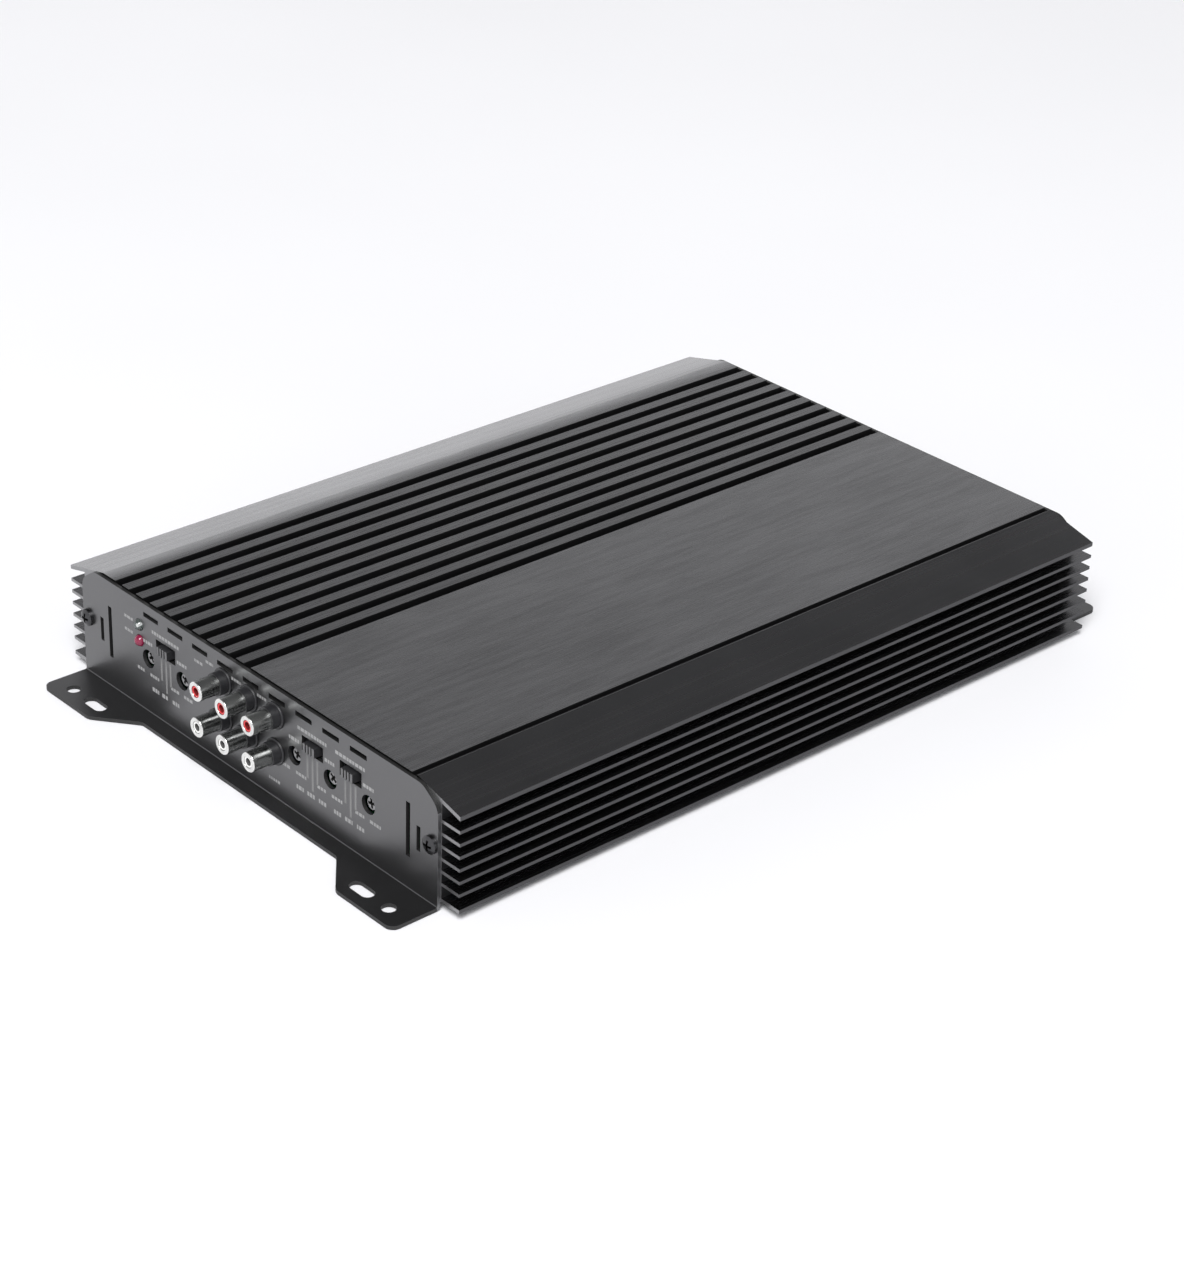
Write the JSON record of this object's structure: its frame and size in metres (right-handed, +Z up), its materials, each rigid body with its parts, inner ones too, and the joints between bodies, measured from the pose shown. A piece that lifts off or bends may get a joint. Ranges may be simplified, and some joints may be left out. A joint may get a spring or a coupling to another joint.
{
  "type": "car amplifier",
  "caption": "Long flat car audio amplifier: a black finned aluminium extrusion with grooved top, folded end plates with mounting ears, input sockets, adjusters, switches and screw terminals.",
  "frame": {"origin": "middle of the underside of the four mounting ears, which is the middle of the bounding box's bottom face", "axes": "+Z up out of the mounting surface; +Y along the extrusion towards the power and speaker terminals; -Y is the control and input side; +X is the side with the plain brushed panel"},
  "size_m": [0.2516, 0.3994, 0.0516],
  "materials": {
    "anodised_black": "black anodised, brushed on the plain top panel",
    "black_cover": "matt black coated sheet",
    "black_screw": "black oxide",
    "black_sheet": "satin black powder coat on folded steel",
    "circuit_board": "green solder mask",
    "brass": "plain brass",
    "zinc_screw": "zinc plated",
    "black_plastic": "moulded black nylon",
    "nickel": "nickel plated",
    "red_plastic": "moulded red",
    "white_plastic": "moulded white",
    "blue_plastic": "moulded blue",
    "grey_plastic": "moulded light grey",
    "slider_plastic": "moulded charcoal",
    "clear_lens": "clear lamp body",
    "red_lens": "red lamp body",
    "green_fuse": "tinted green",
    "fuse_metal": "tin plated",
    "ferrite": "grey ferrite",
    "copper_wire": "enamelled copper",
    "iron_powder": "yellow coated iron powder",
    "capacitor_sleeve": "shrunk plastic sleeve",
    "chip_plastic": "moulded epoxy",
    "tab_metal": "tin plated copper",
    "pad": "grey silicone pad",
    "clamp_steel": "plain steel",
    "resistor_ceramic": "white cement"
  },
  "bodies": {
    "chassis": {"heatsink_housing": "anodised_black", "bottom_cover": "black_cover", "bottom_cover_screws": "black_screw", "front_end_plate": "black_sheet", "front_plate_screws": "black_screw", "rear_end_plate": "black_sheet", "rear_plate_screws": "black_screw", "main_board": "circuit_board", "board_standoffs": "brass", "board_screws": "zinc_screw", "control_board": "circuit_board", "board_header": "black_plastic", "input_socket_block": "black_plastic", "input_socket_shells": "nickel", "input_insulators_red": "red_plastic", "input_insulators_white": "white_plastic", "input_contacts": "brass", "adjuster_bodies": "blue_plastic", "switch_housings": "black_plastic", "power_led": "clear_lens", "protect_led": "red_lens", "led_spacers": "black_plastic", "power_terminal_block": "black_plastic", "power_terminal_clamps": "nickel", "power_terminal_screws": "zinc_screw", "speaker_terminal_block": "black_plastic", "speaker_terminal_clamps": "nickel", "speaker_terminal_screws": "zinc_screw", "fuse_holder": "black_plastic", "fuse_clips": "brass", "transformer_cores": "ferrite", "transformer_windings": "copper_wire", "choke_core": "iron_powder", "choke_winding": "copper_wire", "input_capacitors": "capacitor_sleeve", "rail_capacitors": "capacitor_sleeve", "signal_capacitors": "capacitor_sleeve", "transistor_bodies": "chip_plastic", "transistor_tabs": "tab_metal", "insulating_pads": "pad", "clamp_bars": "clamp_steel", "clamp_bar_screws": "zinc_screw", "driver_chips": "chip_plastic", "power_resistors": "resistor_ceramic"},
    "adjuster_1": {"adjuster_shaft_1": "grey_plastic"},
    "adjuster_2": {"adjuster_shaft_2": "grey_plastic"},
    "adjuster_3": {"adjuster_shaft_3": "grey_plastic"},
    "adjuster_4": {"adjuster_shaft_4": "grey_plastic"},
    "adjuster_5": {"adjuster_shaft_5": "grey_plastic"},
    "switch_1": {"switch_slider_1": "slider_plastic"},
    "switch_2": {"switch_slider_2": "slider_plastic"},
    "switch_3": {"switch_slider_3": "slider_plastic"},
    "fuse_1": {"fuse_1_body": "green_fuse", "fuse_1_blades": "fuse_metal"},
    "fuse_2": {"fuse_2_body": "green_fuse", "fuse_2_blades": "fuse_metal"}
  },
  "joints": [
    {"name": "adjuster_1_turn", "type": "hinge", "parent": "chassis", "child": "adjuster_1", "pos_m": [-0.0686, -0.172, 0.0265], "axis": [0, 1, 0], "range_deg": [-110, 170]},
    {"name": "adjuster_2_turn", "type": "hinge", "parent": "chassis", "child": "adjuster_2", "pos_m": [-0.0452, -0.172, 0.0265], "axis": [0, 1, 0], "range_deg": [-160, 120]},
    {"name": "adjuster_3_turn", "type": "hinge", "parent": "chassis", "child": "adjuster_3", "pos_m": [0.0287, -0.172, 0.0265], "axis": [0, 1, 0], "range_deg": [-65, 215]},
    {"name": "adjuster_4_turn", "type": "hinge", "parent": "chassis", "child": "adjuster_4", "pos_m": [0.0511, -0.172, 0.0265], "axis": [0, 1, 0], "range_deg": [-180, 100]},
    {"name": "adjuster_5_turn", "type": "hinge", "parent": "chassis", "child": "adjuster_5", "pos_m": [0.0744, -0.172, 0.0265], "axis": [0, 1, 0], "range_deg": [-130, 150]},
    {"name": "switch_1_slide", "type": "slide", "parent": "chassis", "child": "switch_1", "axis": [1, 0, 0], "range_m": [-0.0027, 0.0027]},
    {"name": "switch_2_slide", "type": "slide", "parent": "chassis", "child": "switch_2", "axis": [1, 0, 0], "range_m": [-0.0027, 0.0027]},
    {"name": "switch_3_slide", "type": "slide", "parent": "chassis", "child": "switch_3", "axis": [1, 0, 0], "range_m": [-0.0027, 0.0027]},
    {"name": "fuse_1_pull", "type": "slide", "parent": "chassis", "child": "fuse_1", "axis": [0, 1, 0], "range_m": [0, 0.013]},
    {"name": "fuse_2_pull", "type": "slide", "parent": "chassis", "child": "fuse_2", "axis": [0, 1, 0], "range_m": [0, 0.013]}
  ]
}
